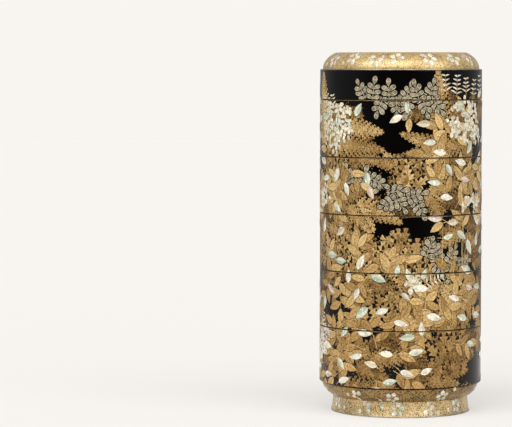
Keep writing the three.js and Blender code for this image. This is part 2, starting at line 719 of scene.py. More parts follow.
class Motif(Enum):
    """The outlines that the foliage is made of."""

    LEAF = Outline.smooth([(0, 0), (0.1, 0.5), (0.3, 0.95), (0.52, 1.0), (0.74, 0.7), (0.9, 0.28), (1, 0)])
    ROUND_LEAF = Outline.smooth(
        [(0, 0), (0.12, 0.36), (0.35, 0.76), (0.62, 1.0), (0.85, 0.8), (0.96, 0.4), (1, 0)]
    )
    SLIM_LEAF = Outline.smooth([(0, 0), (0.3, 0.95), (0.62, 0.85), (1, 0)])
    STEM = Outline.smooth([(0, 0), (0.02, 1), (0.35, 0.9), (0.7, 0.75), (0.98, 0.5), (1, 0)])
    PETAL = Outline.smooth(
        [(0, 0), (0.06, 0.48), (0.22, 0.84), (0.48, 1.0), (0.74, 0.88), (0.93, 0.5), (1, 0)]
    )
    SHORT_PINNA = Outline.toothed(3)
    LOBED_LEAF = Outline.toothed(3)
    LONG_PINNA = Outline.toothed(4)
    BED = Outline.smooth([(0, 0), (0.12, 0.8), (0.5, 1.0), (0.85, 0.7), (1, 0)]).bed()


# What each row of a batch holds, and what each corner of the flat triangles holds
ROW = ("u", "v", "heading", "length", "width", "bend", "height", "tone")
CORNER_VALUES = 9
U, V, HEIGHT, ALONG, SIDE, RIM, TONE, MAP_U, MAP_V = range(CORNER_VALUES)


class Layer(Enum):
    """The height of each kind of work over the lacquer, in mm: the lowest and how far it spreads."""

    GROUND_FERN = (0.03, 0.04)
    FERN = (0.09, 0.045)
    BANK = (0.16, 0.03)
    SPRAY = (0.2, 0.03)
    LEAF = (0.24, 0.08)
    STEM = (0.33, 0.02)
    SHELL = (0.36, 0.08)

    def at(self, share: float) -> float:
        """The height at a share of the layer."""
        return self.value[0] + self.value[1] * share

    def pick(self, chance: np.random.Generator) -> float:
        """A chance height within the layer."""
        return self.at(chance.random())


@dataclass
class Work:
    """The foliage of one finish, as rows of motifs that are set down on the unrolled wall."""

    rows: dict[Motif, list[tuple[float, ...]]] = field(default_factory=lambda: defaultdict(list))
    map_height: float = 0.0
    map_gap: float = 0.6

    def set_down(self, motif: Motif, *row: float) -> None:
        """Sets one motif down; the row is in the order of ROW, with the heading in radians."""
        self.rows[motif].append(row)

    def triangles(self) -> np.ndarray:
        """Every motif as flat triangles.

        Returns:
            An array of triangles by 3 corners by the values U to MAP_V.
        """
        parts = [self.placed(motif.value, np.array(rows)) for motif, rows in self.rows.items()]
        return np.concatenate(parts)

    def placed(self, outline: Outline, rows: np.ndarray) -> np.ndarray:
        """Sets an outline down at every row.

        Args:
            outline: The flat mesh.
            rows: One row each, as ROW says.

        Returns:
            The triangles.
        """
        u, v, heading, length, width, bend, height, tone = (rows[:, i, None] for i in range(len(ROW)))
        share, side = outline.points[:, 0][None], outline.points[:, 1][None]
        along = share * length
        across = side * width / 2 + bend * length * share * share
        cosine, sine = np.cos(heading), np.sin(heading)
        columns = [
            u + along * cosine - across * sine,
            v + along * sine + across * cosine,
            height,
            share,
            side,
            outline.rim[None],
            tone,
            along,
            (side + 1) * width / 2,
        ]
        values = np.stack([np.broadcast_to(column, along.shape) for column in columns], axis=-1)
        values[..., MAP_U : MAP_V + 1] += self.cells(length[:, 0], width[:, 0])[:, None]
        return values[:, outline.triangles].reshape(-1, 3, CORNER_VALUES)

    def cells(self, lengths: np.ndarray, widths: np.ndarray) -> np.ndarray:
        """Gives each motif its own spot on the bake's map, in rows of like widths.

        Args:
            lengths: The motifs' lengths.
            widths: Their widths.

        Returns:
            The corner of each spot, in mm.
        """
        area = float(((lengths + self.map_gap) * (widths + self.map_gap)).sum())
        side = math.sqrt(area * 1.1) + float(lengths.max())
        spots, x, y, tall = np.zeros((len(lengths), 2)), 0.0, 0.0, 0.0
        for number in np.argsort(-widths, kind="stable"):
            if x + lengths[number] > side:
                x, y, tall = 0.0, y + tall, 0.0
            spots[number] = x, y + self.map_height
            x += lengths[number] + self.map_gap
            tall = max(tall, widths[number] + self.map_gap)
        self.map_height += y + tall
        return spots


def cut(soup: np.ndarray, axis: int, line: np.ndarray | float, above: bool) -> np.ndarray:
    """Keeps the part of each triangle on one side of a line.

    Args:
        soup: The triangles.
        axis: The value that the line is a level of, U or V.
        line: One level for all the triangles, or one for each.
        above: Whether the part over the line is kept, or the part under it.

    Returns:
        The parts, as triangles.
    """
    levels = np.broadcast_to(line, len(soup))[:, None]
    gap = (soup[:, :, axis] - levels) * (1 if above else -1)
    inside = gap > -1e-9
    count = inside.sum(axis=1)
    parts = [soup[count == 3]]
    for number in (1, 2):
        chosen = count == number
        lone = np.argmax(inside[chosen] == (number == 1), axis=1)
        order = (lone[:, None] + np.arange(3)) % 3
        corners = np.take_along_axis(soup[chosen], order[:, :, None], 1)
        gaps = np.take_along_axis(gap[chosen], order, 1)
        first, second, third = corners[:, 0], corners[:, 1], corners[:, 2]
        near = first + (second - first) * (gaps[:, 0] / (gaps[:, 0] - gaps[:, 1]))[:, None]
        far = first + (third - first) * (gaps[:, 0] / (gaps[:, 0] - gaps[:, 2]))[:, None]
        if number == 1:
            parts.append(np.stack([first, near, far], axis=1))
        else:
            parts += [np.stack([near, second, third], axis=1), np.stack([near, third, far], axis=1)]
    return np.concatenate(parts)


def cut_between(soup: np.ndarray, low: float, high: float) -> np.ndarray:
    """Keeps the part of each triangle between two heights."""
    return cut(cut(soup, V, low, above=True), V, high, above=False)


def cut_at_steps(soup: np.ndarray, axis: int, step: float) -> np.ndarray:
    """Cuts triangles wherever they cross a whole number of steps, so that each lies on one panel.

    Args:
        soup: The triangles.
        axis: The value that the steps are of, U or V.
        step: How far apart the cuts are.

    Returns:
        The parts, without slivers too thin to see.
    """
    hair, sliver = 1e-6, 2e-4
    done = []
    while len(soup):
        low, high = soup[:, :, axis].min(axis=1), soup[:, :, axis].max(axis=1)
        line = (np.floor(low / step + hair) + 1) * step
        crosses = high > line + hair
        done.append(soup[~crosses])
        soup, line = soup[crosses], line[crosses]
        done.append(cut(soup, axis, line, above=False))
        soup = cut(soup, axis, line, above=True)
    kept = np.concatenate(done) if done else soup
    a, b, c = kept[:, 0, :2], kept[:, 1, :2], kept[:, 2, :2]
    area = (b[:, 0] - a[:, 0]) * (c[:, 1] - a[:, 1]) - (b[:, 1] - a[:, 1]) * (c[:, 0] - a[:, 0])
    return kept[np.abs(area) > sliver]


class Surface:
    """A turned surface that flat work is bent round: u goes by the body's radius, v along the profile."""

    def __init__(self, profile: Sequence[Point]) -> None:
        """Keeps the profile, upwards, with the distance along it."""
        self.points = np.array(profile, float)
        steps = np.linalg.norm(np.diff(self.points, axis=0), axis=1)
        self.along = np.concatenate([[0.0], np.cumsum(steps)])
        tangents = np.gradient(self.points, self.along, axis=0)
        tangents /= np.linalg.norm(tangents, axis=1)[:, None]
        self.normals = np.stack([tangents[:, 1], -tangents[:, 0]], axis=1)

    def place(self, u: np.ndarray, v: np.ndarray, height: np.ndarray) -> np.ndarray:
        """Where flat points come to lie.

        Args:
            u: Distances round the body, in mm.
            v: Distances along the profile, in mm.
            height: Distances over the surface, in mm.

        Returns:
            Points in metres.
        """
        radius, level = (np.interp(v, self.along, column) for column in self.points.T)
        out, up = (np.interp(v, self.along, column) for column in self.normals.T)
        reach = radius + out * height
        panel = np.floor(u / PANEL + 1e-7)
        share = (u / PANEL - panel)[:, None]
        ends = []
        for corner in (panel, panel + 1):
            angle = corner * 2 * math.pi / FACETS
            ends.append(np.stack([reach * np.sin(angle), -reach * np.cos(angle)], axis=1))
        flat = ends[0] * (1 - share) + ends[1] * share
        return np.column_stack([flat, level + up * height]) * MM


@dataclass(frozen=True)
class Applied:
    """Foliage of one finish on one surface, as a piece."""

    name: str
    finish: Finish
    slot: Slot

    def build(self, soup: np.ndarray, surface: Surface, palette: Palette) -> None:
        """Bends flat triangles round a surface; nothing is built where no foliage is left.

        Args:
            soup: The triangles, already cut to the surface.
            surface: What they lie on.
            palette: Where the material comes from.
        """
        if not len(soup):
            return
        flat = cut_at_steps(soup, U, PANEL).reshape(-1, CORNER_VALUES)
        # Corners that agree to 0.0005 mm, and in height to 0.00001 mm, are one point
        keys = np.round(flat[:, [U, V, HEIGHT]] * np.array([2e3, 2e3, 1e5])).astype(np.int64)
        _, first, index = np.unique(keys, axis=0, return_index=True, return_inverse=True)
        faces = index.reshape(-1, 3)
        places = surface.place(flat[first, U], flat[first, V], flat[first, HEIGHT])
        sound = (faces[:, 0] != faces[:, 1]) & (faces[:, 1] != faces[:, 2]) & (faces[:, 0] != faces[:, 2])
        faces, flat = faces[sound], flat.reshape(-1, 3, CORNER_VALUES)[sound].reshape(-1, CORNER_VALUES)
        mesh = bpy.data.meshes.new(self.name)
        mesh.vertices.add(len(places))
        mesh.vertices.foreach_set("co", places.astype(np.float32).ravel())
        mesh.loops.add(faces.size)
        mesh.loops.foreach_set("vertex_index", faces.ravel().astype(np.int32))
        mesh.polygons.add(len(faces))
        mesh.polygons.foreach_set("loop_start", np.arange(0, faces.size, 3, dtype=np.int32))
        for name, column in (("along", ALONG), ("side", SIDE), ("rim", RIM), ("tone", TONE)):
            values = mesh.attributes.new(name, "FLOAT", "CORNER").data
            values.foreach_set("value", flat[:, column].astype(np.float32))
        spots = flat[:, MAP_U : MAP_V + 1]
        spots = (spots - spots.min(axis=0)) / max(1e-6, float(np.ptp(spots, axis=0).max()))
        layer = mesh.uv_layers.new(name="OFBake")
        layer.data.foreach_set("uv", spots.astype(np.float32).ravel())
        mesh.materials.append(palette.get(self.finish))
        mesh.update(calc_edges=True)
        mesh.validate()
        mesh.polygons.foreach_set("use_smooth", [True] * len(mesh.polygons))
        piece = linked(self.name, mesh)
        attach(piece, "root")
        log.info("%s: %d triangles", self.name, len(mesh.polygons))


@dataclass(frozen=True)
class Patch:
    """An oval area of the wall: angle from the front in degrees, positive to the right, and height in mm."""

    angle: float
    height: float
    half_angle: float
    half_height: float

    def depth(self, angle: np.ndarray | float, height: np.ndarray | float) -> np.ndarray:
        """0 in the middle of the patch, 1 on its edge and more outside."""
        off = (np.asarray(angle) - self.angle + 180) % 360 - 180
        return np.hypot(off / self.half_angle, (np.asarray(height) - self.height) / self.half_height)


@dataclass(frozen=True)
class Sprig:
    """Where a plant starts, as degrees from the front and mm of height, and its heading in degrees."""

    angle: float
    height: float
    heading: float

    @property
    def root(self) -> Point:
        """The u and v that it starts at."""
        return self.angle / 360 * WIDE, self.height

    @property
    def way(self) -> float:
        """Its heading in radians."""
        return math.radians(self.heading)


@dataclass(frozen=True)
class Frond(Sprig):
    """A fern frond, and how long, wide and bent it is."""

    length: float
    spread: float
    bend: float = 0.0


@dataclass(frozen=True)
class LoneLeaf(Sprig):
    """A listed leaf, where it stands out; its tone chooses its tint."""

    length: float
    tone: float
    slot: Slot = Slot.SHELL


def planted(kind: type, *rows: tuple) -> tuple:
    """Turns rows of values into areas or plants of one kind.

    Args:
        kind: Patch, Sprig, Frond or LoneLeaf.
        *rows: The values of each, in the order of its fields.

    Returns:
        One of the kind for each row.
    """
    return tuple(kind(*row) for row in rows)


# Where bare black lacquer shows on the lid and no frond points; the second goes right round
QUIET_OPENINGS = planted(Patch, (-50, 363, 13, 17), (0, 377, 400, 5), (-34, 362, 9, 14), (14, 365, 14, 12))

# Where bare black lacquer shows and the fronds near it point at it
CALLING_OPENINGS = planted(
    Patch,
    (-4, 349, 27, 17), (48, 366, 20, 14), (-3, 307, 21, 22), (-16, 323, 12, 10), (-27, 272, 5, 11),
    (-3, 258, 5, 6), (26, 228, 6, 4), (5, 211, 29, 12), (-22, 208, 14, 9), (41, 186, 10, 12),
    (72, 50, 19, 16), (-49, 154, 8, 5), (-27, 127, 7, 4), (-12, 133, 8, 6), (28, 120, 5, 4),
    (66, 160, 10, 8), (112, 356, 22, 15), (150, 300, 24, 18), (-130, 320, 20, 20), (-165, 240, 24, 15),
    (118, 225, 16, 12), (160, 170, 22, 12), (-115, 175, 14, 10), (-150, 95, 20, 14), (125, 90, 18, 12),
    (170, 45, 20, 11),
)
OPENINGS = QUIET_OPENINGS + CALLING_OPENINGS

# Where sprays of small silver leaves grow, and the sprays that are listed
SILVER_PATCHES = planted(
    Patch,
    (-14, 357, 22, 12), (14, 352, 12, 12), (-6, 338, 16, 10), (18, 336, 11, 10), (-34, 262, 6, 10),
    (-14, 252, 12, 20), (6, 236, 16, 12), (26, 176, 14, 14), (40, 160, 12, 12), (14, 182, 10, 8),
    (-100, 345, 12, 12), (135, 262, 14, 16), (-120, 130, 14, 14),
)
LEADING_SPRIGS = planted(
    Sprig,
    (-25, 347, 118), (-20, 346, 82), (-8, 344, 98), (2, 343, 72), (13, 344, 102), (19, 346, 66),
    (-12, 349, -118), (-3, 350, -84), (6, 349, -100), (15, 349, -70), (22, 348, -48), (-38, 254, 96),
    (-28, 250, 72), (-22, 262, -30), (-14, 248, 120), (-10, 246, 10), (-4, 244, -58), (4, 240, 20),
    (10, 238, -62), (-2, 238, 200), (18, 176, 70), (27, 172, 104), (36, 168, 62), (24, 168, -40),
    (36, 164, -76), (44, 166, 12),
)

# Where ferns lie open, without leaves over them
FERN_PATCHES = planted(
    Patch, (4, 260, 24, 26), (-12, 190, 40, 14), (-40, 300, 22, 22), (34, 56, 24, 24), (40, 250, 6, 8)
)

# Where lobed leaves crowd in banks, the lower over the higher
BANK_PATCHES = planted(
    Patch,
    (-52, 176, 14, 17), (-34, 174, 13, 15), (-17, 175, 12, 17), (1, 177, 10, 24), (14, 174, 9, 20),
    (-52, 268, 14, 17), (4, 122, 22, 16), (38, 66, 17, 20), (8, 268, 14, 12), (38, 108, 16, 14),
    (140, 200, 22, 18), (-140, 280, 20, 22), (-120, 100, 20, 20),
)

# Where small round shell flowers crowd together
CLUSTER_PATCHES = planted(
    Patch,
    (-53, 318, 17, 28), (50, 326, 18, 20), (60, 306, 12, 12), (9, 149, 6, 7), (58, 234, 12, 9),
    (-74, 74, 8, 20), (-68, 240, 8, 12), (176, 318, 12, 12), (-140, 180, 10, 10),
)

# Where slim shell leaves stand in pairs on stems, and the stems that are listed
SHELL_PATCHES = planted(
    Patch, (-58, 332, 10, 8), (58, 230, 8, 6), (-72, 80, 8, 22), (178, 335, 14, 14), (-140, 190, 12, 14)
)
LEADING_PAIRS = planted(
    Sprig,
    (33, 351, 93), (42, 348, 87), (52, 350, 92), (62, 347, 88), (73, 350, 92), (4, 143, 52),
    (13, 140, 118), (16, 146, 20),
)

# Where thin gold stems stand
STEM_PATCHES = planted(
    Patch, (42, 188, 16, 16), (-56, 300, 12, 12), (60, 320, 12, 14), (-80, 120, 8, 16), (168, 300, 16, 14)
)

# Where broad gold leaves lie over the ferns
LEAF_PATCHES = planted(
    Patch,
    (-55, 250, 26, 34), (48, 262, 26, 30), (44, 300, 18, 14), (38, 212, 20, 20), (-40, 150, 34, 32),
    (0, 120, 60, 22), (50, 130, 34, 30), (-30, 70, 50, 34), (25, 72, 22, 26), (-8, 175, 50, 16),
    (150, 120, 40, 30), (-150, 150, 40, 30), (110, 280, 24, 24), (-100, 260, 22, 26), (-100, 60, 30, 26),
)

# The leaves that are listed, most of them at the edge of an opening
LEADING_LEAVES = planted(
    LoneLeaf,
    (1, 329, 205, 16, 0.3), (21, 320, 176, 16.5, 0.2), (5, 331, 96, 13.5, 0.55),
    (6, 326, 262, 16, 0.8, Slot.GOLD), (25, 300, 178, 15, 0.65), (33, 288, 168, 17, 0.3),
    (30, 217, 170, 18, 0.8), (31, 213, 208, 19, 0.8, Slot.GOLD), (44, 213, 176, 16, 0.2),
    (31, 196, 12, 14, 0.65), (-24, 268, -88, 16, 0.55), (-23, 252, -70, 15, 0.8),
    (-42, 256, -75, 15, 0.3), (-3, 156, 72, 13, 0.55), (7, 150, 104, 15, 0.7), (15, 152, 64, 13, 0.6),
    (1, 138, -48, 12, 0.95), (-5, 70, 168, 16, 0.3), (6, 72, 8, 17, 0.65), (-16, 57, 158, 16, 0.0),
    (0, 53, -24, 16, 0.4), (14, 50, 16, 15, 0.3), (-12, 40, 4, 16, 0.55),
)

# The fronds that are listed, many of them with their tips in an opening
LEADING_FRONDS = planted(
    Frond,
    (-70, 296, 90, 80, 44, 0.02), (28, 316, 91, 62, 32, 0.02), (-74, 174, 84, 52, 32, 0.02),
    (-80, 222, 80, 48, 30), (76, 236, 92, 54, 30), (70, 196, 80, 40, 26),
    (-43, 316, -4, 48, 26, -0.04), (-45, 297, -3, 53, 23, -0.06), (32, 289, 152, 54, 22, 0.1),
    (34, 285, 172, 44, 18, 0.04), (18, 268, 166, 64, 26, 0.05), (8, 262, 140, 40, 24),
    (20, 262, 20, 36, 22, -0.1), (4, 240, 80, 36, 24, 0.1), (20, 246, 20, 40, 20, -0.1),
    (-33, 232, -13, 56, 26, -0.12), (-40, 230, -40, 40, 19, -0.05), (-29, 229, -58, 30, 17),
    (-51, 224, -56, 40, 19), (-54, 172, 70, 32, 26), (-28, 166, 108, 30, 26, 0.06),
    (18, 164, 78, 34, 26), (38, 112, 92, 40, 24), (30, 112, 78, 42, 20), (52, 110, 84, 36, 22),
    (24, 66, -6, 62, 24, 0.1), (22, 52, -4, 52, 24, 0.05), (20, 42, -8, 40, 18), (36, 80, -20, 44, 22, 0.1),
)

# How thickly gold flecks lie in the lacquer at each height
DUST_HEIGHTS = (33, 90, 150, 345, 352)
DUST_SHARES = (0.08, 0.06, 0.04, 0.03, 0.0)


def dust_on_wall(angle: np.ndarray, height: np.ndarray) -> np.ndarray:
    """How thickly gold flecks lie on the wall: thicker low down, none in the openings.

    Args:
        angle: Degrees from the front.
        height: Heights in mm.

    Returns:
        The share of flecks that are gold, from 0 to 1.
    """
    clear = np.min([o.depth(angle, height) for o in OPENINGS], axis=0)
    return np.interp(height, DUST_HEIGHTS, DUST_SHARES) * np.clip((clear - 1.0) / 0.5, 0, 1)


def ahead(start: Point, heading: float, along: float, across: float = 0.0) -> Point:
    """The point that lies so far ahead of a start along a heading in radians, and so far to its left."""
    cosine, sine = math.cos(heading), math.sin(heading)
    return start[0] + along * cosine - across * sine, start[1] + along * sine + across * cosine


@dataclass
class Garden:
    """Composes the foliage of the body on the unrolled wall; its seeded chance gives every irregularity."""

    chance: np.random.Generator
    leaf_length: float = 21.5
    silver_length: float = 8.6
    silver_spacing: float = 5.5
    slim_length: float = 9.0
    slim_width: float = 2.3
    slim_spacing: float = 4.8
    pinna_spacing: float = 6.0
    pinna_width: float = 7.8
    long_pinna: float = 9.0
    rise: float = 0.0012  # how much higher each side leaf lies than the one before
    stalk: float = 8.0
    leaf_middle: float = 8.0
    shell_spacing: float = 17.0
    shortest_frond: float = 16.0
    front: float = 100.0  # degrees to either side; behind it the plants stand further apart
    work: dict[Slot, Work] = field(default_factory=lambda: {slot: Work() for slot in FOLIAGE})
    shells: list[Point] = field(default_factory=list)

    def vary(self, low: float, high: float) -> float:
        """A chance value between two ends."""
        return self.chance.uniform(low, high)

    def open_depth(self, angle: float, height: float) -> float:
        """How deep a point is in the nearest opening: under 1 inside it."""
        return min(float(o.depth(angle, height)) for o in OPENINGS)

    def within(self, patches: Iterable[Patch], angle: float, height: float) -> bool:
        """Whether a point is in any of the patches."""
        return any(float(p.depth(angle, height)) < 1 for p in patches)

    def clear_share(self, sprig: Sprig, length: float) -> float:
        """How much of a length can be gone along a heading before an opening is reached.

        Args:
            sprig: Where it starts and which way it goes.
            length: The whole length.

        Returns:
            The share that is clear, from 0.2 to 1.
        """
        for share in (0.4, 0.6, 0.8, 1.0):
            angle = sprig.angle + share * length * math.cos(sprig.way) / WIDE * 360
            if self.open_depth(angle, sprig.height + share * length * math.sin(sprig.way)) < 0.93:
                return share - 0.2
        return 1.0

    def spread(
        self, step_u: float, step_v: float, clear_low: float = 0.0, clear_high: float = 0.0
    ) -> Iterable[Point]:
        """Points all over the wall on an uneven grid.

        Args:
            step_u: How far apart they are round the body.
            step_v: How far apart they are in height.
            clear_low: The height that stays free at the bottom.
            clear_high: The height that stays free at the top.

        Yields:
            The angle and height of each.
        """
        low, high = SIZES.bowl_top + clear_low, SIZES.ledge - clear_high
        columns, rows = round(WIDE / step_u), round((high - low) / step_v)
        for row in range(rows + 1):
            for column in range(columns):
                wander_u, wander_v = self.chance.uniform(-0.45, 0.45, 2)
                angle = ((column + 0.5 * (row % 2) + wander_u) / columns * 360 + 180) % 360 - 180
                yield angle, low + (high - low) * (row + wander_v) / rows

    def stem(self, spot: Spot, length: float, width: float, bend: float, tone: float = 1.0) -> None:
        """Sets down a thin gold stem."""
        level = Layer.STEM.pick(self.chance)
        self.work[Slot.GOLD].set_down(Motif.STEM, *spot, length, width, bend, level, tone)

    def frond(self, frond: Frond, layer: Layer, tone: float) -> None:
        """Sets down a fern frond: a stem with toothed side leaves that shorten to the tip.

        Args:
            frond: Where it grows and how large it is.
            layer: The layer that it lies in.
            tone: How light it is, from 0 to 1.
        """
        work, base = self.work[Slot.GOLD], layer.pick(self.chance)
        count = max(5, round(frond.length / self.pinna_spacing))
        for number in range(count):
            share = (number + 0.6) / (count + 0.4)
            off = frond.bend * frond.length * share * share
            spot = ahead(frond.root, frond.way, share * frond.length, off)
            turn = frond.way + math.atan(2 * frond.bend * share)
            reach = frond.spread / 2 * min(1.0, 0.55 + share * 3) * (1 - share) ** 0.8 * 1.25 + 2.4
            wide = (self.pinna_width + 0.22 * reach) * (1 - 0.3 * share)
            motif = Motif.LONG_PINNA if reach > self.long_pinna else Motif.SHORT_PINNA
            for sign in (1, -1):
                lean = math.radians(66 - 26 * share + self.vary(-5, 5))
                level = base + number * self.rise + (self.rise / 2 if sign > 0 else 0)
                laid, bend = (*spot, turn + sign * lean), -sign * 0.1
                work.set_down(Motif.BED, *laid, reach + 0.3, wide * 0.8, bend, level - self.rise / 3, 0.0)
                shade = float(np.clip(tone + self.vary(-0.16, 0.16), 0, 1))
                work.set_down(motif, *laid, reach, wide, bend, level, shade)
        top = base + count * self.rise
        work.set_down(Motif.SHORT_PINNA, *spot, turn, 6.0, 4.2, 0.0, top, tone)
        stem = (*frond.root, frond.way, frond.length, 0.55, frond.bend)
        work.set_down(Motif.STEM, *stem, top + self.rise, min(1.0, tone + 0.25))

    def ground_frond(self, angle: float, height: float) -> None:
        """Sets down a frond that points at the opening nearest a place, without covering it."""
        near = min(CALLING_OPENINGS, key=lambda o: float(o.depth(angle, height)))
        away = ((near.angle - angle + 180) % 360 - 180) / 360 * WIDE
        heading = math.degrees(math.atan2(near.height - height, away)) + self.vary(-48, 48)
        length = self.vary(32, 50)
        length *= self.clear_share(Sprig(angle, height, heading), length)
        if length < self.shortest_frond:
            return
        wide = self.vary(20, 28) * min(1.0, length / 30)
        frond = Frond(angle, height, heading, length, wide, self.vary(-0.1, 0.1))
        # Painted shade: ground fronds are darker the lower they grow, as the light falls off downwards
        lightest = float(np.interp(height, [60, 160], [0.35, 0.6]))
        self.frond(frond, Layer.GROUND_FERN, float(self.vary(0.0, lightest)))

    def lobed_leaf(self, angle: float, height: float, share: float) -> None:
        """Sets down a leaf with pointed lobes; the share says how far down its bank it grows."""
        sprig = Sprig(angle, height, 90 + self.vary(-62, 62))
        spot, length = (*sprig.root, sprig.way), self.vary(12, 17)
        width, bend = length * self.vary(0.8, 1.0), self.vary(-0.12, 0.12)
        work, level = self.work[Slot.GOLD], Layer.BANK.at(share)
        # Painted shade: lobed leaves are darker the lower they grow, as the light falls off downwards
        shade = float(np.interp(height, [60, 170], [0.4, 0.85]))
        work.set_down(Motif.BED, *spot, length + 1.0, width * 0.86, bend, level - 0.0008, 0.0)
        work.set_down(Motif.LOBED_LEAF, *spot, length, width, bend, level, self.vary(0.3, 1.0) * shade)

    def leaf(self, slot: Slot, spot: Spot, size: float, layer: Layer) -> None:
        """Sets down one broad pointed leaf.

        Args:
            slot: The finish that it is worked in.
            spot: Where it starts.
            size: Its length, as a share of the usual one.
            layer: The layer that it lies in.
        """
        length = self.leaf_length * size * self.vary(0.85, 1.12)
        width, bend, level = length * self.vary(0.44, 0.54), self.vary(-0.14, 0.14), layer.pick(self.chance)
        # Painted shade: gold leaves are darker the lower they lie, as the light falls off downwards; shell
        # leaves keep their tone
        shade = float(np.interp(spot[1], [60, 240], [0.68, 1.0]))
        tone = self.vary(0.26, 1.0) if slot is Slot.SHELL else self.vary(0.42, 1.0) * shade
        self.work[slot].set_down(Motif.LEAF, *spot, length, width, bend, level, tone)

    def twig(self, sprig: Sprig, leaves: int = 4) -> None:
        """Sets down a thin twig with gold leaves in turn along it, the last of them at its tip."""
        root, way = sprig.root, sprig.way
        length, bend = self.vary(20, 34), self.vary(-0.2, 0.2)
        self.stem((*root, way), length, 0.7, bend, 0.9)
        for number in range(leaves):
            share = (number + 1) / leaves
            lean = math.radians(self.vary(30, 62)) * (1 if number % 2 else -1)
            turn = way + (0.1 if number == leaves - 1 else lean)
            spot = ahead(root, way, share * length, bend * length * share * share)
            self.leaf(Slot.GOLD, (*spot, turn), 0.92, Layer.LEAF)

    def round_spray(self, sprig: Sprig, pairs: int = 3) -> None:
        """Sets down a sprig of small silver leaves, in pairs along a stem with one at its end."""
        root, way = sprig.root, sprig.way
        work, base, rise = self.work[Slot.SILVER], Layer.SPRAY.pick(self.chance), 0.002
        stem, leaves = pairs * self.silver_spacing, 2 * pairs + 1
        for number in range(leaves):
            sign, step = (1, -1)[number % 2], number // 2
            lean = sign * math.radians(74 - 12 * step) if step < pairs else 0.0
            length = self.silver_length * self.vary(0.88, 1.12)
            width, bend, level = length * 0.56, self.vary(-0.12, 0.12), base + rise * (number + 1)
            spot = (*ahead(root, way, stem * (step + 0.35) / (pairs + 0.35)), way + lean)
            work.set_down(Motif.BED, *spot, length + 1.2, width + 2.4, bend, level - rise / 2, 0.0)
            work.set_down(Motif.ROUND_LEAF, *spot, length, width, bend, level, self.vary(0.0, 1.0))
        work.set_down(Motif.STEM, *root, way, stem, 0.8, 0.0, base + rise * (leaves + 1), 1.0)

    def paired_spray(self, sprig: Sprig) -> None:
        """Sets down a stem with slim shell leaves in pairs that arch outwards."""
        root, way = sprig.root, sprig.way
        length, base = self.vary(18, 24), Layer.SHELL.pick(self.chance) - 0.03
        self.stem((*root, way), length, 0.6, 0.03)
        count = round(length / self.slim_spacing)
        for number in range(count):
            share = (number + 0.8) / count
            spot = ahead(root, way, share * length)
            for sign in (1, -1):
                size = self.slim_length * (1.05 - 0.5 * share) * self.vary(0.85, 1.15)
                turn = way + math.radians(46 + self.vary(-8, 8)) * sign
                laid = (*spot, turn, size, self.slim_width, 0.46 * sign, base + 0.001 * number)
                self.work[Slot.SHELL].set_down(Motif.SLIM_LEAF, *laid, self.chance.random() * 0.45)

    def upright_stem(self, angle: float, height: float) -> None:
        """Sets down a long thin gold stem that stands up."""
        sprig = Sprig(angle, height - 22, 90 + self.vary(-4, 4))
        self.stem((*sprig.root, sprig.way), self.vary(34, 52), 0.9, self.vary(-0.04, 0.04), 0.9)

    def small_flower(self, angle: float, height: float) -> None:
        """Sets down one to three small shell petals close together, round ones or slim hanging ones."""
        slim = self.chance.random() < 0.16
        motif = Motif.SLIM_LEAF if slim else Motif.PETAL
        turn = math.radians(self.vary(-120, -60)) if slim else self.vary(0, 2 * math.pi)
        for _ in range(int(self.chance.integers(1, 4))):
            turn += self.vary(-0.5, 0.5) if slim else self.vary(1.4, 2.4)
            size = self.vary(5.5, 8.0) if slim else self.vary(4.6, 7.0)
            spot = (angle / 360 * WIDE + self.vary(-1, 1), height, turn)
            width = 2.4 if slim else size * 0.8
            level = Layer.SHELL.pick(self.chance) - 0.04
            self.work[Slot.SHELL].set_down(motif, *spot, size, width, 0.0, level, self.chance.random() * 0.56)

    def lone_leaf(self, leaf: LoneLeaf) -> None:
        """Sets down a listed leaf, with its stalk."""
        root, way = leaf.root, leaf.way
        level = (Layer.SHELL if leaf.slot is Slot.SHELL else Layer.LEAF).pick(self.chance)
        self.shells.append(ahead(root, way, self.leaf_middle))
        laid = (*root, way, leaf.length, leaf.length * 0.5, 0.08, level, leaf.tone)
        self.work[leaf.slot].set_down(Motif.LEAF, *laid)
        self.stem((*root, way + math.pi - 0.4), self.stalk, 0.7, 0.1)

    def shell_leaf(self, angle: float, height: float) -> None:
        """Sets down one large shell leaf with a short stalk, unless it would crowd another or an opening."""
        lying = [-18, 198, -8, 172, 20, 160, -62, 242, 84]  # degrees; most of them lie to one side
        sprig = Sprig(angle, height, self.chance.choice(lying) + self.vary(-20, 20))
        root, way = sprig.root, sprig.way
        middle = ahead(root, way, self.leaf_middle)
        crowded = any(math.dist(middle, other) < self.shell_spacing for other in self.shells)
        if crowded or self.clear_share(sprig, self.shell_spacing) < 1:
            return
        self.shells.append(middle)
        self.leaf(Slot.SHELL, (*root, way), 0.82, Layer.SHELL)
        self.stem((*root, way + math.pi + self.vary(-0.5, 0.5)), 6.0, 0.6, 0.1)

    def grow(self) -> None:
        """Sets down all of it, from the ground up."""
        self.grow_ferns()
        self.grow_banks()
        self.grow_silver()
        self.grow_twigs()
        for leaf in LEADING_LEAVES:
            self.lone_leaf(leaf)
        for angle, height in self.spread(5.0, 30):
            if self.within(STEM_PATCHES, angle, height):
                self.upright_stem(angle, height)
        for angle, height in self.spread(5.0, 4.8):
            if self.within(CLUSTER_PATCHES, angle, height) and self.chance.random() < 0.72:
                self.small_flower(angle, height)
        self.grow_shell()

    def grow_ferns(self) -> None:
        """Covers the ground with ferns, thinner behind and low down, with the leading fronds over them."""
        for angle, height in self.spread(24, 19, clear_high=22):
            behind = abs(angle) > self.front
            if self.open_depth(angle, height) < 1.15 or (behind and self.chance.random() < 0.3):
                continue
            if height > 95 or self.chance.random() < 0.86:
                self.ground_frond(angle, height)
        for frond in LEADING_FRONDS:
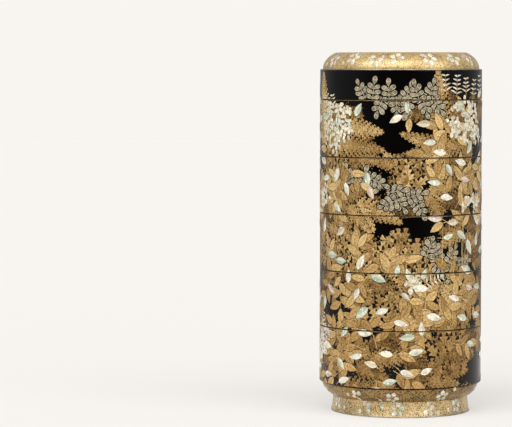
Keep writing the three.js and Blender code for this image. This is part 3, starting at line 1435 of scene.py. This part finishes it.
            # Painted shade: fronds low on the wall are darker, as the light falls off downwards
            tone = self.vary(0.45, 0.8) if frond.height > 100 else self.vary(0.1, 0.4)
            self.frond(frond, Layer.FERN, float(tone))

    def grow_banks(self) -> None:
        """Crowds lobed leaves in banks, from the highest leaf down."""
        banked = [p for p in self.spread(7.5, 6.0) if self.within(BANK_PATCHES, *p)]
        for number, (angle, height) in enumerate(sorted(banked, key=lambda p: -p[1])):
            self.lobed_leaf(angle, height - 6, number / len(banked))

    def grow_silver(self) -> None:
        """Grows silver sprays by chance at the sides and behind, and as listed in front."""
        for angle, height in self.spread(20, 16):
            if self.within(SILVER_PATCHES, angle, height) and abs(angle) > 70:
                self.round_spray(Sprig(angle, height - 8, self.vary(40, 140)))
        for sprig in LEADING_SPRIGS:
            self.round_spray(Sprig(sprig.angle, sprig.height, sprig.heading + self.vary(-8, 8)))

    def grow_twigs(self) -> None:
        """Lays twigs of broad gold leaves over the ferns, clear of openings, sprays and open ferns."""
        for angle, height in self.spread(21, 18):
            if self.within(LEAF_PATCHES, angle, height) and self.open_depth(angle, height) > 1.1:
                sprig = Sprig(angle, height, self.vary(0, 360))
                kept_free = self.within((*SILVER_PATCHES, *FERN_PATCHES), angle, height)
                if not kept_free and self.clear_share(sprig, 40.0) == 1.0:
                    self.twig(sprig)

    def grow_shell(self) -> None:
        """Sets shell leaves over everything: pairs on stems, then large ones well apart."""
        for angle, height in self.spread(13, 15):
            if self.within(SHELL_PATCHES, angle, height):
                self.paired_spray(Sprig(angle, height - 8, self.vary(70, 110)))
        for pair in LEADING_PAIRS:
            self.paired_spray(pair)
        for angle, height in self.spread(20, 17, clear_low=8, clear_high=36):
            kept = 0.75 if abs(angle) < self.front else 0.25
            bare = self.open_depth(angle, height) < 0.9
            bare = bare or self.within((*FERN_PATCHES, *SILVER_PATCHES), angle, height)
            if not bare and self.chance.random() < kept:
                self.shell_leaf(angle, height)


@dataclass(frozen=True)
class Part:
    """What the turned parts share: their materials, and the seat where one stands on the next."""

    palette: Palette

    def seat(self, level: float) -> list[Point]:
        """The underside of a part, from the recess out to the softened edge."""
        s, low = SIZES, level + SIZES.seam_gap
        corner = soft_corner(s.body_radius, low, s.seam_softening, upper=False)
        return [(s.seat_radius, level + s.seat_height), (s.seat_radius, low), *corner]

    def piece(self, name: str, runs: Sequence[Run], slot: Slot, dusted: bool) -> None:
        """Builds a turned piece and puts it in place of its solid.

        Args:
            name: The solid's name.
            runs: The profile.
            slot: The finish that the record gives it; not used.
            dusted: Whether gold flecks lie in its lacquer.
        """
        made = Turned(f"{name}_turned", runs, self.palette, dusted).build()
        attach(made, "root")
        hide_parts(name)
        log.info("%s: %d faces", made.name, len(made.data.polygons))


@dataclass(frozen=True)
class Tier(Part):
    """A plain tier: a tray with a standing lip in its mouth."""

    number: int
    floor: float = 9.1
    floor_rounding: Point = (2.5, 0.8)
    lip_softening: float = 0.4

    def build(self) -> None:
        """Builds the tier."""
        s, level = SIZES, SIZES.tier_base(self.number)
        high, top = level + s.tier_height - s.seam_gap, level + s.tier_height + s.lip_height
        corner = soft_corner(s.body_radius, high, s.seam_softening, upper=True)
        soft = self.lip_softening
        lip = [(s.lip_radius, high), (s.lip_radius, top - soft), (s.lip_radius - soft, top)]
        lip += [(s.inner_radius + soft, top), (s.inner_radius, top - soft)]
        below, hollow = self.base(level)
        wall = straight(below[-1].points[-1][1], corner[0][1], s.body_radius)
        inside = Run([corner[-1], *lip, *hollow], INSIDE)
        # The rounded top edge is gilt, and its paleness is partly a painted highlight along the edge
        runs = [*below, Run(wall, OUTSIDE), Run(corner, GILT_EDGE_AND_HIGHLIGHT), inside]
        self.piece(f"tier_{self.number}", runs, Slot.BLACK, dusted=True)

    def base(self, level: float) -> tuple[list[Run], list[Point]]:
        """What is under the wall, and the hollow inside it.

        Args:
            level: The level of the wall's underside.

        Returns:
            The runs from the axis out to the wall, and the points from the wall down to the axis.
        """
        s, floor = SIZES, level + self.floor
        wide, small = self.floor_rounding
        recess = [(0, level + s.seat_height), (s.seat_radius, level + s.seat_height)]
        rounded = [(s.inner_radius, floor + wide), (s.inner_radius - small, floor + small)]
        hollow = [*rounded, (s.inner_radius - wide, floor), (0, floor)]
        return [Run(recess, INSIDE), Run(self.seat(level), OUTSIDE)], hollow


@dataclass(frozen=True)
class LowestTier(Tier):
    """The lowest tier, in one piece with its bowl and its flared foot."""

    hollow_side: float = 41.0
    hollow_reach: float = 68.0
    hollow_floor: float = 21.7

    def base(self, level: float) -> tuple[list[Run], list[Point]]:
        """The foot and bowl under the wall, and the rounded hollow inside it.

        Args:
            level: The level of the wall's underside.

        Returns:
            The runs from the axis out to the wall, and the points from the wall down to the axis.
        """
        s, bowl, foot = SIZES, bowl_profile(), foot_profile()
        recess = [(0, s.foot_height), (s.foot_inner, s.foot_height), (s.foot_inner, s.rim_height), foot[0]]
        corner = soft_corner(s.body_radius, level, s.seam_softening, upper=False)
        runs = [Run(recess, INSIDE), Run(foot, FOOT_FLAKES), Run(bowl[:-1], BOWL_FLAKES)]
        # Painted shadow: the bowl's top step is black lacquer instead of gold flakes, standing for the shade
        # under the wall's overhang
        runs.append(Run([*bowl[-2:], *corner], OUTSIDE))
        curve = arc((s.inner_radius, self.hollow_side), (self.hollow_reach, self.hollow_floor), 90, 10)
        return runs, [*curve, (0, self.hollow_floor)]


@dataclass(frozen=True)
class Lid(Part):
    """The lid: a straight band, a ledge with a metal edge, a gold shoulder and a flat top with rings."""

    hollow_side: float = 372.9
    hollow_reach: float = 61.7
    hollow_top: float = 392.4
    ledge_softening: float = 0.9
    ledge_metal: float = 2.0
    top_metal: float = 0.5
    brown_inner: float = 67.9
    gold_inner: float = 60.9
    panel_radius: float = 59.9
    panel_height: float = 0.12
    panel_skirt: float = 0.1
    scallops: int = 36
    scallop_depth: float = 3.1
    scallop_start: float = 0.7
    panel_crease: float = 40.0

    def build(self) -> None:
        """Builds the lid and its panel."""
        s, low, edge, top = SIZES, SIZES.stack_top, SIZES.body_radius, SIZES.lid_top
        hollow = arc((s.inner_radius, self.hollow_side), (self.hollow_reach, self.hollow_top), 90, 10)[::-1]
        recess = [(s.inner_radius, low + s.seat_height), (s.seat_radius, low + s.seat_height)]
        soft = self.ledge_softening
        band = straight(low + s.seam_gap + s.seam_softening, s.ledge - soft, edge)
        corner = soft_corner(edge, s.ledge, soft, upper=True)
        rings = (
            (s.top_radius - self.top_metal, PEWTER),
            (self.brown_inner, BROWN),
            (self.gold_inner, RING_GOLD),
            (0.0, INSIDE),
        )
        runs = [
            Run([(0, self.hollow_top), *hollow, *recess], INSIDE),
            Run([*self.seat(low), *band], OUTSIDE),
            Run([*corner, (edge - self.ledge_metal, s.ledge)], PEWTER),
            Run([(s.shoulder_radius, s.ledge)], OUTSIDE),
            Run(shoulder_profile(), SHOULDER_FLAKES),
            *(Run([(radius, top)], finish) for radius, finish in rings),
        ]
        self.piece("lid", runs, Slot.BLACK, dusted=True)
        self.panel()

    def panel(self) -> None:
        """Builds the bare gold panel, with its scalloped edge."""
        count = self.scallops * 12
        turn = np.arange(count) * 2 * math.pi / count
        bulge = np.abs(np.sin(turn * self.scallops / 2)) ** 0.5
        shares = (0.35, self.scallop_start, 0.9, 0.96, 1.0)
        places, faces = [(0.0, 0.0, 0.0)], []
        for share in shares:
            cutting = max(0.0, (share - self.scallop_start) / (1 - self.scallop_start))
            reach = self.panel_radius * share - self.scallop_depth * (1 - bulge) * cutting
            places += list(zip(reach * np.sin(turn), -reach * np.cos(turn), np.zeros(count)))
        skirt = [(x, y, -self.panel_skirt) for x, y, _ in places[-count:]]
        level = SIZES.lid_top + self.panel_height
        places = [(x, y, z + level) for x, y, z in places + skirt]
        for i in range(count):
            j = (i + 1) % count
            faces.append((0, 1 + i, 1 + j))
            for ring in range(len(shares)):
                low, high = 1 + ring * count, 1 + (ring + 1) * count
                faces.append((low + i, high + i, high + j, low + j))
        mesh = bpy.data.meshes.new("lid_panel")
        mesh.from_pydata((np.array(places) * MM).tolist(), [], faces)
        mesh.materials.append(self.palette.get(PANEL_GOLD))
        mesh.polygons.foreach_set("use_smooth", [True] * len(faces))
        mesh.set_sharp_from_angle(angle=math.radians(self.panel_crease))
        made = linked("lid_panel", mesh)
        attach(made, "root")
        log.info("%s: %d faces", made.name, len(faces))


@dataclass(frozen=True)
class FootRim(Part):
    """The metal rim that the foot stands on."""

    upper_softening: float = 0.5
    lower_softening: float = 0.3

    def build(self) -> None:
        """Builds the rim."""
        s = SIZES
        low = soft_corner(s.rim_radius, 0.0, self.lower_softening, upper=False)
        high = soft_corner(s.rim_radius, s.rim_height, self.upper_softening, upper=True)
        points = [(s.foot_inner, 0.0), *low, *high, (s.foot_inner, s.rim_height), (s.foot_inner, 0.0)]
        self.piece("foot_rim", [Run(points, PEWTER)], Slot.PEWTER, dusted=False)


@dataclass(frozen=True)
class Blossoms:
    """Five-petalled shell blossoms round a moulding; their seeded chance gives every irregularity."""

    chance: np.random.Generator
    petal: float = 5.5
    inner: float = 2.0
    edge_gap: float = 0.25

    def ring(self, profile: Sequence[Point], count: int, size: float) -> np.ndarray:
        """Flat triangles for blossoms in an uneven row round the moulding, each with a loose petal beside it.

        Args:
            profile: The moulding, upwards.
            count: How many blossoms go round it.
            size: The petals' length, as a share of the usual one.

        Returns:
            The triangles, with v along the profile, cut to its ends.
        """
        surface, work, vary = Surface(profile), Work(), self.chance.uniform
        tall, mean = surface.along[-1], float(np.mean(surface.points[:, 0]))
        for number in range(count):
            u = WIDE * (number + vary(-0.22, 0.22)) / count
            v = tall * (0.5 + vary(-0.1, 0.1))
            turn = vary(0, 2 * math.pi)
            # Some blossoms have lost a petal or two
            for step in range(int(self.chance.choice([5, 5, 5, 4, 3]))):
                self.set_petal(work, (u, v), turn + step * 2 * math.pi / 5, size)
            side = self.chance.choice([-1, 1]) * vary(11, 17)
            self.set_petal(work, (u + side, v + vary(-5, 5)), vary(0, 6.3), size * 0.8)
        soup = work.triangles()
        # u is measured at the body's radius, so each petal is widened by what the moulding is narrower
        middle = np.repeat(soup[:, :, U].mean(axis=1)[:, None], 3, axis=1)
        soup[:, :, U] = middle + (soup[:, :, U] - middle) * (SIZES.body_radius / mean)
        return cut_between(soup, self.edge_gap, tall - self.edge_gap)

    def set_petal(self, work: Work, middle: Point, turn: float, size: float) -> None:
        """Sets down one petal that starts a little off the middle and heads away from it."""
        spot = (*ahead(middle, turn, self.inner * size), turn)
        length, level = self.petal * size, 0.08 + 0.02 * self.chance.random()
        work.set_down(Motif.PETAL, *spot, length, length * 0.98, 0.0, level, self.chance.random())


def dress_walls(garden: Garden, palette: Palette) -> None:
    """Shares the foliage out to the lid and tiers, cut where they part, and builds it.

    Args:
        garden: The composed foliage.
        palette: Where the materials come from.
    """
    s = SIZES
    bands = {"lid": (s.stack_top, s.ledge - 0.7)}
    for number in range(1, s.tier_count + 1):
        bands[f"tier_{number}"] = (s.tier_base(number), s.tier_base(number) + s.tier_height)
    margin = s.seam_gap + s.seam_softening
    for slot, finish in FOLIAGE.items():
        soup = garden.work[slot].triangles()
        for name, (low, high) in bands.items():
            part = soup[(soup[:, :, V].max(axis=1) > low) & (soup[:, :, V].min(axis=1) < high)]
            part = cut_between(part, low + margin, high - margin)
            part[:, :, V] -= low
            wall = Surface([(s.body_radius, low), (s.body_radius, high)])
            Applied(f"{name}_{slot.name.lower()}", finish, slot).build(part, wall, palette)


def dress_mouldings(blossoms: Blossoms, palette: Palette) -> None:
    """Sets shell blossoms on the shoulder, the bowl and the foot.

    Args:
        blossoms: What sets them down.
        palette: Where the material comes from.
    """
    for name, profile, count, size in (
        ("lid_blossoms", shoulder_profile(), 17, 1.24),
        ("tier_5_bowl_blossoms", bowl_profile(), 10, 1.12),
        ("tier_5_foot_blossoms", foot_profile(), 12, 1.22),
    ):
        surface = Surface(profile)
        step = surface.along[-1] / (len(profile) - 1)
        soup = cut_at_steps(blossoms.ring(profile, count, size), V, step)
        Applied(name, SHELL, Slot.SHELL).build(soup, surface, palette)


@dataclass(frozen=True)
class Studio:
    """The pale floor, the soft light and the camera, in metres."""

    eye_level: float = 0.379
    distance: float = 2.89
    focal_pixels: float = 2600.0
    picture: tuple[int, int] = (512, 427)
    axis_pixel: float = 400.8
    ledge_pixel: float = 69.0
    sensor_width: float = 36.0
    floor_level: float = -0.0002  # a hair under the foot, so that the two faces never share a plane
    near_radius: float = 0.9
    far_radius: float = 11.0
    dome_radius: float = 11.2
    dome_sinks: float = 0.4
    floor_colour: str = "#f4f1ed"
    floor_glow: float = 0.52
    surround_colour: str = "#f8f5f1"

    def build(self) -> None:
        """Builds all of it."""
        self.camera()
        self.stage()
        self.light()

    def camera(self) -> None:
        """Puts the camera where the photograph was taken from, with the box right of centre."""
        data = bpy.data.cameras.new("camera")
        data.sensor_width = self.sensor_width
        data.lens = data.sensor_width * self.focal_pixels / self.picture[0]
        data.clip_end = 60.0
        camera = bpy.data.objects.new("camera", data)
        bpy.context.scene.collection.objects.link(camera)
        camera.location = (0.0, -self.distance, self.eye_level)
        aside = math.atan((self.axis_pixel - self.picture[0] / 2) / self.focal_pixels)
        down = math.atan((self.picture[1] / 2 - self.ledge_pixel) / self.focal_pixels)
        look = Vector((-math.sin(aside), math.cos(aside), -math.tan(down)))
        camera.rotation_euler = look.to_track_quat("-Z", "Y").to_euler()
        bpy.context.scene.camera = camera

    def stage(self) -> None:
        """Makes the floor, mirrored in the lacquer only nearby, and a surround that only the camera sees."""
        near = self.sheet("near_floor", 0.0, self.near_radius)
        far = self.sheet("far_floor", self.near_radius, self.far_radius)
        pale = self.flat("pale floor", self.floor_colour, self.floor_glow)
        for sheet in (near, far):
            sheet.data.materials.append(pale)
        far.visible_glossy = False
        dome = self.dome("surround")
        dome.data.materials.append(self.flat("pale surround", self.surround_colour, 1.0))
        for name in ("visible_diffuse", "visible_glossy", "visible_transmission", "visible_shadow"):
            setattr(dome, name, False)
        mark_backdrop(near, far, dome)

    def flat(self, name: str, colour: str, glow: float) -> bpy.types.Material:
        """A plain matt material, part of whose brightness is a glow, so that shadows on it stay faint.

        Args:
            name: The material's name.
            colour: Its colour, as a hex code.
            glow: The share of its brightness that is a glow.

        Returns:
            The material.
        """
        material = bpy.data.materials.new(name)
        material.use_nodes = True
        inputs = material.node_tree.nodes["Principled BSDF"].inputs
        inputs["Base Color"].default_value = tuple(c * (1 - glow) for c in linear(colour)[:3]) + (1.0,)
        inputs["Roughness"].default_value = 0.9
        inputs["Specular IOR Level"].default_value = 0.0
        inputs["Emission Color"].default_value = linear(colour)
        inputs["Emission Strength"].default_value = glow
        return material

    def sheet(self, name: str, inner: float, outer: float, around: int = 96) -> bpy.types.Object:
        """A flat sheet between two radii at the level of the floor, or a disc if the inner one is 0.

        Args:
            name: The sheet's name.
            inner: The radius of its hole.
            outer: The radius of its edge.
            around: How many sides it has.

        Returns:
            The sheet.
        """
        turn = np.arange(around) * 2 * math.pi / around
        radii = (outer, inner) if inner else (outer,)
        places = [(r * math.cos(a), r * math.sin(a), self.floor_level) for r in radii for a in turn]
        faces = [tuple(range(around))]
        if inner:
            after = [(i + 1) % around for i in range(around)]
            faces = [(i, j, around + j, around + i) for i, j in enumerate(after)]
        mesh = bpy.data.meshes.new(name)
        mesh.from_pydata(places, [], faces)
        return linked(name, mesh)

    def dome(self, name: str, rings: int = 16, around: int = 64) -> bpy.types.Object:
        """A dome over the floor, seen from inside.

        Args:
            name: The dome's name.
            rings: How many rows of faces it has.
            around: How many faces go round it.

        Returns:
            The dome.
        """
        places, faces = [], []
        for i in range(rings + 1):
            climb = math.pi / 2 * i / rings
            reach, level = self.dome_radius * math.cos(climb), self.dome_radius * math.sin(climb)
            for j in range(around):
                turn = 2 * math.pi * j / around
                places.append((reach * math.cos(turn), reach * math.sin(turn), level - self.dome_sinks))
        for i in range(rings):
            low, high = i * around, (i + 1) * around
            for j in range(around):
                after = (j + 1) % around
                faces.append((low + j, high + j, high + after, low + after))
        mesh = bpy.data.meshes.new(name)
        mesh.from_pydata(places, [], faces)
        return linked(name, mesh)

    def light(self) -> None:
        """A dim surround, darkest behind the camera, with two broad soft lights from the front."""
        world = bpy.data.worlds.new("studio")
        bpy.context.scene.world = world
        world.use_nodes = True
        nodes = Nodes(world.node_tree)
        place = add(nodes.tree, "ShaderNodeTexCoord").outputs["Generated"]
        way = add(nodes.tree, "ShaderNodeSeparateXYZ", {"Vector": place}).outputs["Y"]
        back = nodes.tree.nodes["Background"]
        back.inputs["Color"].default_value = (0.98, 0.99, 1.0, 1.0)
        nodes.feed(back.inputs["Strength"], nodes.ranged(way, (-0.96, -0.3), (0.03, 0.42)))
        self.sun("key", (-0.6, -1.0, 1.0), 1.95, 55)
        self.sun("fill", (0.75, -1.0, 0.95), 1.6, 60)

    def sun(self, name: str, towards: tuple[float, float, float], strength: float, width: float) -> None:
        """Adds a far light.

        Args:
            name: The light's name.
            towards: The direction that it comes from.
            strength: How strong it is.
            width: Its angular width in degrees.
        """
        data = bpy.data.lights.new(name, "SUN")
        data.energy, data.angle = strength, math.radians(width)
        lamp = bpy.data.objects.new(name, data)
        lamp.rotation_euler = Vector(towards).to_track_quat("Z", "Y").to_euler()
        bpy.context.scene.collection.objects.link(lamp)


def main() -> None:
    """Builds the studio, the turned parts and their decoration, in that order."""
    logging.basicConfig(level=logging.INFO, format="%(name)s: %(message)s")
    bpy.context.scene.view_settings.view_transform = "Standard"
    Studio().build()
    palette = Palette()
    Lid(palette).build()
    for number in range(1, SIZES.tier_count):
        Tier(palette, number).build()
    LowestTier(palette, SIZES.tier_count).build()
    FootRim(palette).build()
    garden = Garden(np.random.default_rng(SEED))
    garden.grow()
    dress_walls(garden, palette)
    dress_mouldings(Blossoms(np.random.default_rng(SEED + 1)), palette)
    boxes = {"cad": cad_box, "visual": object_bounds()}
    {name: [list(corner) for corner in pair] for name, pair in boxes.items()}


if __name__ == "__main__":
    main()
